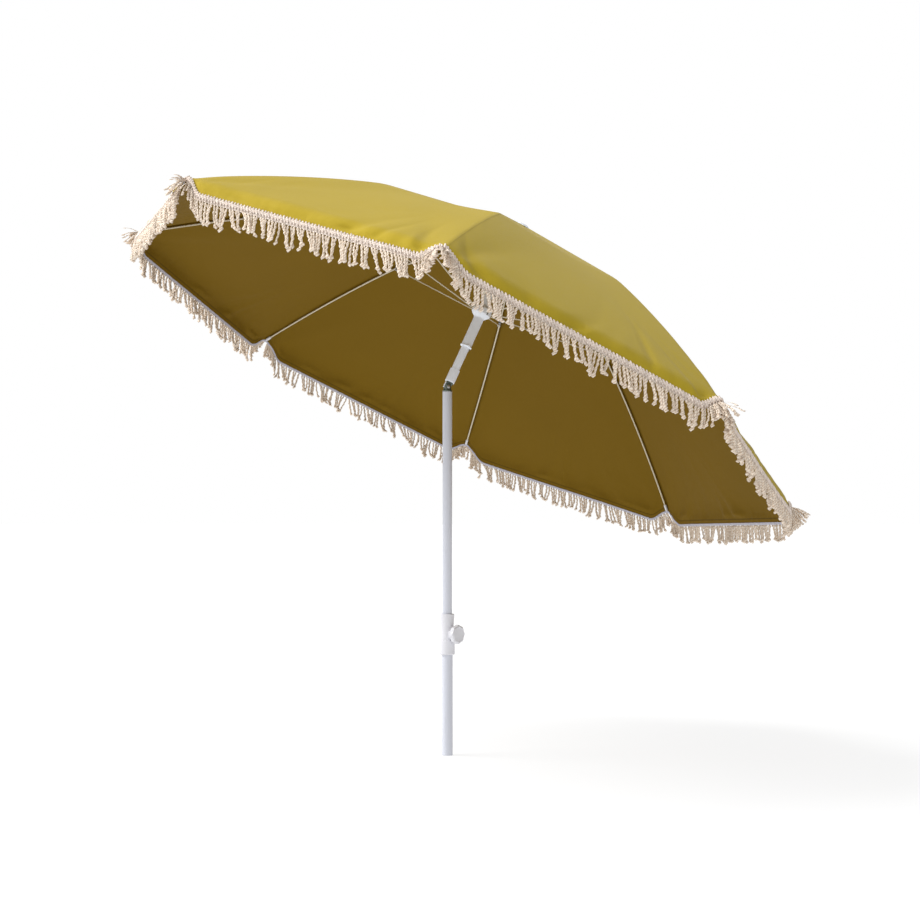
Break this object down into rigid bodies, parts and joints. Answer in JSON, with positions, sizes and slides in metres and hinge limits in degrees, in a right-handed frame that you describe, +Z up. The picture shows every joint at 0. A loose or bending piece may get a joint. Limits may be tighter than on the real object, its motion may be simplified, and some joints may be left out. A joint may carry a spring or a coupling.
{
  "type": "beach umbrella",
  "caption": "Tilting beach umbrella with a fringed gored canopy on hinged wire ribs, a sliding runner and a two-part pole with a clamp knob.",
  "frame": {"origin": "middle of the pole's flat bottom end", "axes": "+Z up the pole, +X the way the canopy tilts, +Y along the tilt hinge"},
  "size_m": [1.4284, 1.5842, 1.284],
  "materials": {
    "painted_tube": "smooth white powder coat",
    "white_plastic": "moulded, slightly shiny",
    "tilt_metal": "dull grey plated",
    "bright_steel": "bright zinc plated",
    "rib_paint": "thin cream white coat",
    "canopy_cloth": "plain weave polyester, matt",
    "fringe_cotton": "twisted undyed cotton"
  },
  "bodies": {
    "lower_pole": {"lower_tube": "painted_tube", "foot_plug": "white_plastic", "clamp_body": "white_plastic", "clamp_nut": "bright_steel"},
    "pad": {"clamp_pad": "bright_steel"},
    "knob": {"clamp_screw": "bright_steel", "clamp_knob": "white_plastic"},
    "bush": {"guide_bush": "white_plastic"},
    "mast": {"mast_tube": "painted_tube", "lower_knuckle": "tilt_metal", "tilt_pin": "bright_steel"},
    "head": {"upper_knuckle": "tilt_metal", "head_tube": "painted_tube", "crown": "white_plastic", "crown_wire": "bright_steel", "top_cap": "white_plastic", "runner_catch": "bright_steel"},
    "collar": {"tilt_collar": "white_plastic"},
    "runner": {"runner": "white_plastic", "runner_wire": "bright_steel"},
    "rib_arm_1": {"rib_1": "rib_paint", "rib_tip_1": "white_plastic", "canopy_1": "canopy_cloth", "fringe_1": "fringe_cotton"},
    "stretcher_arm_1": {"stretcher_1": "rib_paint"},
    "rib_arm_2": {"rib_2": "rib_paint", "rib_tip_2": "white_plastic", "canopy_2": "canopy_cloth", "fringe_2": "fringe_cotton"},
    "stretcher_arm_2": {"stretcher_2": "rib_paint"},
    "rib_arm_3": {"rib_3": "rib_paint", "rib_tip_3": "white_plastic", "canopy_3": "canopy_cloth", "fringe_3": "fringe_cotton"},
    "stretcher_arm_3": {"stretcher_3": "rib_paint"},
    "rib_arm_4": {"rib_4": "rib_paint", "rib_tip_4": "white_plastic", "canopy_4": "canopy_cloth", "fringe_4": "fringe_cotton"},
    "stretcher_arm_4": {"stretcher_4": "rib_paint"},
    "rib_arm_5": {"rib_5": "rib_paint", "rib_tip_5": "white_plastic", "canopy_5": "canopy_cloth", "fringe_5": "fringe_cotton"},
    "stretcher_arm_5": {"stretcher_5": "rib_paint"},
    "rib_arm_6": {"rib_6": "rib_paint", "rib_tip_6": "white_plastic", "canopy_6": "canopy_cloth", "fringe_6": "fringe_cotton"},
    "stretcher_arm_6": {"stretcher_6": "rib_paint"},
    "rib_arm_7": {"rib_7": "rib_paint", "rib_tip_7": "white_plastic", "canopy_7": "canopy_cloth", "fringe_7": "fringe_cotton"},
    "stretcher_arm_7": {"stretcher_7": "rib_paint"},
    "rib_arm_8": {"rib_8": "rib_paint", "rib_tip_8": "white_plastic", "canopy_8": "canopy_cloth", "fringe_8": "fringe_cotton"},
    "stretcher_arm_8": {"stretcher_8": "rib_paint"}
  },
  "joints": [
    {"name": "clamp_pad_travel", "type": "slide", "parent": "lower_pole", "child": "pad", "axis": [0.5, -0.866, 0], "range_m": [0, 0.0025]},
    {"name": "clamp_knob_turn", "type": "hinge", "parent": "pad", "child": "knob", "pos_m": [0, 0, 0.278], "axis": [0.5, -0.866, 0], "range_deg": [0, 720]},
    {"name": "pole_height", "type": "slide", "parent": "lower_pole", "child": "bush", "axis": [0, 0, 1], "range_m": [-0.07, 0.12]},
    {"name": "mast_swivel", "type": "hinge", "parent": "bush", "child": "mast", "pos_m": [0, 0, 0.112], "axis": [0, 0, 1], "continuous": true},
    {"name": "tilt", "type": "hinge", "parent": "mast", "child": "head", "pos_m": [0, 0, 0.848], "axis": [0, 1, 0], "range_deg": [-25.8, 0]},
    {"name": "tilt_collar_lift", "type": "slide", "parent": "head", "child": "collar", "axis": [0.4352, 0, 0.9003], "range_m": [0, 0.008]},
    {"name": "runner_travel", "type": "slide", "parent": "head", "child": "runner", "axis": [-0.4352, 0, -0.9003], "range_m": [0, 0.05], "deforming": ["canopy_1", "fringe_1", "canopy_2", "fringe_2", "canopy_3", "fringe_3", "canopy_4", "fringe_4", "canopy_5", "fringe_5", "canopy_6", "fringe_6", "canopy_7", "fringe_7", "canopy_8", "fringe_8", "runner_catch"]},
    {"name": "rib_1_turn", "type": "hinge", "parent": "head", "child": "rib_arm_1", "pos_m": [0.19241, 0.00547, 1.21148], "axis": [-0.3079, 0.9397, 0.1489], "range_deg": [0, 3.45]},
    {"name": "stretcher_1_turn", "type": "hinge", "parent": "rib_arm_1", "child": "stretcher_arm_1", "pos_m": [0.45779, 0.13408, 0.94857], "axis": [0.3079, -0.9397, -0.1489], "range_deg": [0, 7.72]},
    {"name": "rib_2_turn", "type": "hinge", "parent": "head", "child": "rib_arm_2", "pos_m": [0.18496, 0.0145, 1.21508], "axis": [-0.816, 0.4226, 0.3945], "range_deg": [0, 3.45]},
    {"name": "stretcher_2_turn", "type": "hinge", "parent": "rib_arm_2", "child": "stretcher_arm_2", "pos_m": [0.27529, 0.3553, 1.03679], "axis": [0.816, -0.4226, -0.3945], "range_deg": [0, 7.72]},
    {"name": "rib_3_turn", "type": "hinge", "parent": "head", "child": "rib_arm_3", "pos_m": [0.17395, 0.01503, 1.22041], "axis": [-0.846, -0.342, 0.409], "range_deg": [0, 3.45]},
    {"name": "stretcher_3_turn", "type": "hinge", "parent": "rib_arm_3", "child": "stretcher_arm_3", "pos_m": [0.00541, 0.36839, 1.16726], "axis": [0.846, 0.342, -0.409], "range_deg": [0, 7.72]},
    {"name": "rib_4_turn", "type": "hinge", "parent": "head", "child": "rib_arm_4", "pos_m": [0.16582, 0.00676, 1.22434], "axis": [-0.3805, -0.9063, 0.1839], "range_deg": [0, 3.45]},
    {"name": "stretcher_4_turn", "type": "hinge", "parent": "rib_arm_4", "child": "stretcher_arm_4", "pos_m": [-0.19376, 0.16568, 1.26354], "axis": [0.3805, 0.9063, -0.1839], "range_deg": [0, 7.72]},
    {"name": "rib_5_turn", "type": "hinge", "parent": "head", "child": "rib_arm_5", "pos_m": [0.16534, -0.00547, 1.22457], "axis": [0.3079, -0.9397, -0.1489], "range_deg": [0, 3.45]},
    {"name": "stretcher_5_turn", "type": "hinge", "parent": "rib_arm_5", "child": "stretcher_arm_5", "pos_m": [-0.20554, -0.13408, 1.26924], "axis": [-0.3079, 0.9397, 0.1489], "range_deg": [0, 7.72]},
    {"name": "rib_6_turn", "type": "hinge", "parent": "head", "child": "rib_arm_6", "pos_m": [0.17279, -0.0145, 1.22097], "axis": [0.816, -0.4226, -0.3945], "range_deg": [0, 3.45]},
    {"name": "stretcher_6_turn", "type": "hinge", "parent": "rib_arm_6", "child": "stretcher_arm_6", "pos_m": [-0.02304, -0.3553, 1.18101], "axis": [-0.816, 0.4226, 0.3945], "range_deg": [0, 7.72]},
    {"name": "rib_7_turn", "type": "hinge", "parent": "head", "child": "rib_arm_7", "pos_m": [0.1838, -0.01503, 1.21564], "axis": [0.846, 0.342, -0.409], "range_deg": [0, 3.45]},
    {"name": "stretcher_7_turn", "type": "hinge", "parent": "rib_arm_7", "child": "stretcher_arm_7", "pos_m": [0.24684, -0.36839, 1.05055], "axis": [-0.846, -0.342, 0.409], "range_deg": [0, 7.72]},
    {"name": "rib_8_turn", "type": "hinge", "parent": "head", "child": "rib_arm_8", "pos_m": [0.19193, -0.00676, 1.21171], "axis": [0.3805, 0.9063, -0.1839], "range_deg": [0, 3.45]},
    {"name": "stretcher_8_turn", "type": "hinge", "parent": "rib_arm_8", "child": "stretcher_arm_8", "pos_m": [0.44601, -0.16568, 0.95426], "axis": [-0.3805, -0.9063, 0.1839], "range_deg": [0, 7.72]}
  ],
  "couplings": [
    {"joint": "clamp_pad_travel", "follows": "clamp_knob_turn", "m_per_rad": 0.00019894},
    {"joint": "rib_1_turn", "follows": "runner_travel", "rad_per_m": 1.1988},
    {"joint": "stretcher_1_turn", "follows": "runner_travel", "rad_per_m": 2.6867},
    {"joint": "rib_2_turn", "follows": "runner_travel", "rad_per_m": 1.1988},
    {"joint": "stretcher_2_turn", "follows": "runner_travel", "rad_per_m": 2.6867},
    {"joint": "rib_3_turn", "follows": "runner_travel", "rad_per_m": 1.1988},
    {"joint": "stretcher_3_turn", "follows": "runner_travel", "rad_per_m": 2.6867},
    {"joint": "rib_4_turn", "follows": "runner_travel", "rad_per_m": 1.1988},
    {"joint": "stretcher_4_turn", "follows": "runner_travel", "rad_per_m": 2.6867},
    {"joint": "rib_5_turn", "follows": "runner_travel", "rad_per_m": 1.1988},
    {"joint": "stretcher_5_turn", "follows": "runner_travel", "rad_per_m": 2.6867},
    {"joint": "rib_6_turn", "follows": "runner_travel", "rad_per_m": 1.1988},
    {"joint": "stretcher_6_turn", "follows": "runner_travel", "rad_per_m": 2.6867},
    {"joint": "rib_7_turn", "follows": "runner_travel", "rad_per_m": 1.1988},
    {"joint": "stretcher_7_turn", "follows": "runner_travel", "rad_per_m": 2.6867},
    {"joint": "rib_8_turn", "follows": "runner_travel", "rad_per_m": 1.1988},
    {"joint": "stretcher_8_turn", "follows": "runner_travel", "rad_per_m": 2.6867}
  ]
}
